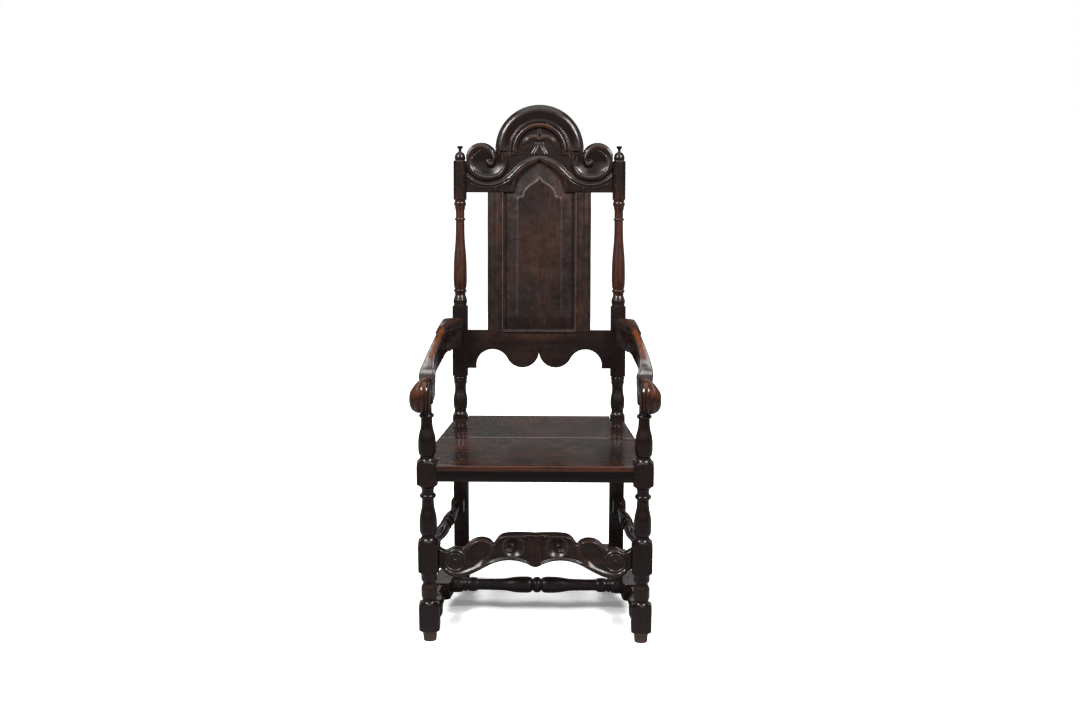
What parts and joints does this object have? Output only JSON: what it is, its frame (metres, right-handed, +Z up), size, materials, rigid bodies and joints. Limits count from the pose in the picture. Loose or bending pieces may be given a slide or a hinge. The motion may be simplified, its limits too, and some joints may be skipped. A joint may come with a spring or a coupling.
{
  "type": "wainscot armchair",
  "caption": "Oak armchair with turned front posts, scrolled arms, a panelled leaning back under an arched carved crest, a boarded seat and a carved front stretcher",
  "frame": {"origin": "on the floor, under the middle of the overall box", "axes": "+Z up, +X to the right of someone facing the chair, +Y to the chair's back"},
  "size_m": [0.5786, 0.579, 1.2386],
  "materials": {
    "dark_oak": "waxed, with a high polish",
    "peg_oak": "waxed"
  },
  "bodies": {
    "root": {"front_post_left": "dark_oak", "front_post_right": "dark_oak", "rear_post_left": "dark_oak", "rear_post_right": "dark_oak", "front_seat_rail": "dark_oak", "rear_seat_rail": "dark_oak", "side_seat_rail_left": "dark_oak", "side_seat_rail_right": "dark_oak", "seat_board_front": "dark_oak", "seat_board_rear": "dark_oak", "arm_left": "dark_oak", "arm_right": "dark_oak", "crest_rail": "dark_oak", "crest_arch": "dark_oak", "crest_dowels": "peg_oak", "lower_back_rail": "dark_oak", "panel_stile_left": "dark_oak", "panel_stile_right": "dark_oak", "back_panel": "dark_oak", "front_stretcher": "dark_oak", "upper_side_stretcher_left": "dark_oak", "upper_side_stretcher_right": "dark_oak", "lower_side_stretcher_left": "dark_oak", "lower_side_stretcher_right": "dark_oak", "medial_stretcher": "dark_oak", "rear_stretcher": "dark_oak", "front_frame_pegs": "peg_oak", "side_frame_pegs": "peg_oak", "rear_frame_pegs": "peg_oak", "back_pegs": "peg_oak", "arm_pegs": "peg_oak", "medial_pegs": "peg_oak", "seat_board_pegs": "peg_oak"}
  },
  "joints": []
}
